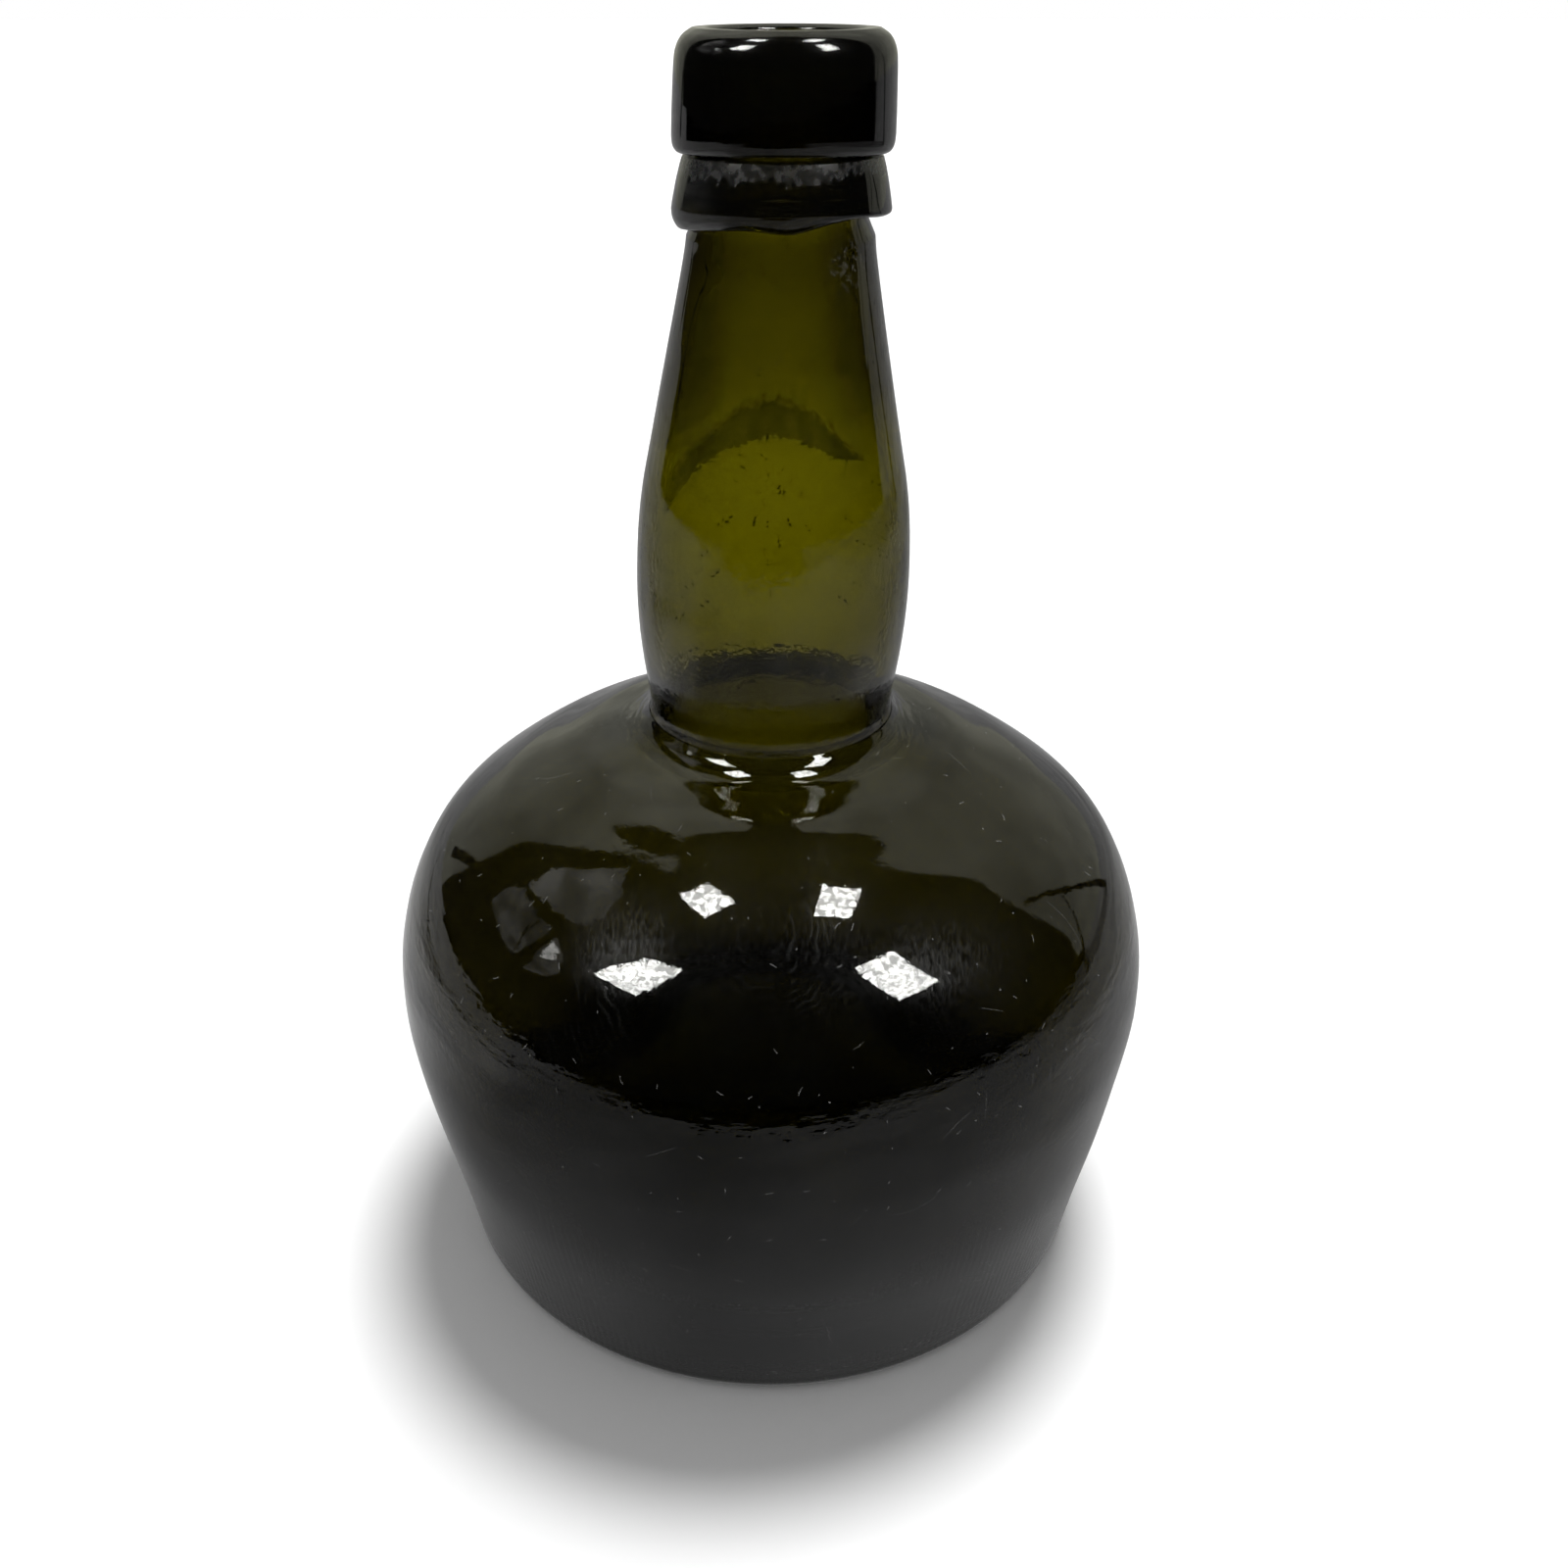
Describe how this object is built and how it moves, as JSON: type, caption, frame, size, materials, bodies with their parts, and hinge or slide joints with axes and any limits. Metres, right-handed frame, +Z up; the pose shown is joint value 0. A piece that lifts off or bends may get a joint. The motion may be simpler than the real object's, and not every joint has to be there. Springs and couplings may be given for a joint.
{
  "type": "mallet bottle",
  "caption": "Free-blown squat glass bottle with a domed shoulder, a long swollen neck, a laid-on string collar, a thick banded mouth and a pushed-up base.",
  "frame": {"origin": "on the surface the bottle stands on, under the middle of the body", "axes": "+Z up along the body's axis, -Y towards the picture's viewer, +X to the viewer's right"},
  "size_m": [0.1276, 0.1276, 0.1938],
  "materials": {
    "bowl_glass": "glossy, faint handling scratches and dust",
    "neck_glass": "glossy, drawn lengthwise, with seeds",
    "trail_glass": "glossy, with hazy seams",
    "scar_glass": "rough, broken"
  },
  "bodies": {
    "root": {"body": "bowl_glass", "neck": "neck_glass", "string_collar": "trail_glass", "lip_band": "trail_glass", "pontil_scar": "scar_glass"}
  },
  "joints": []
}
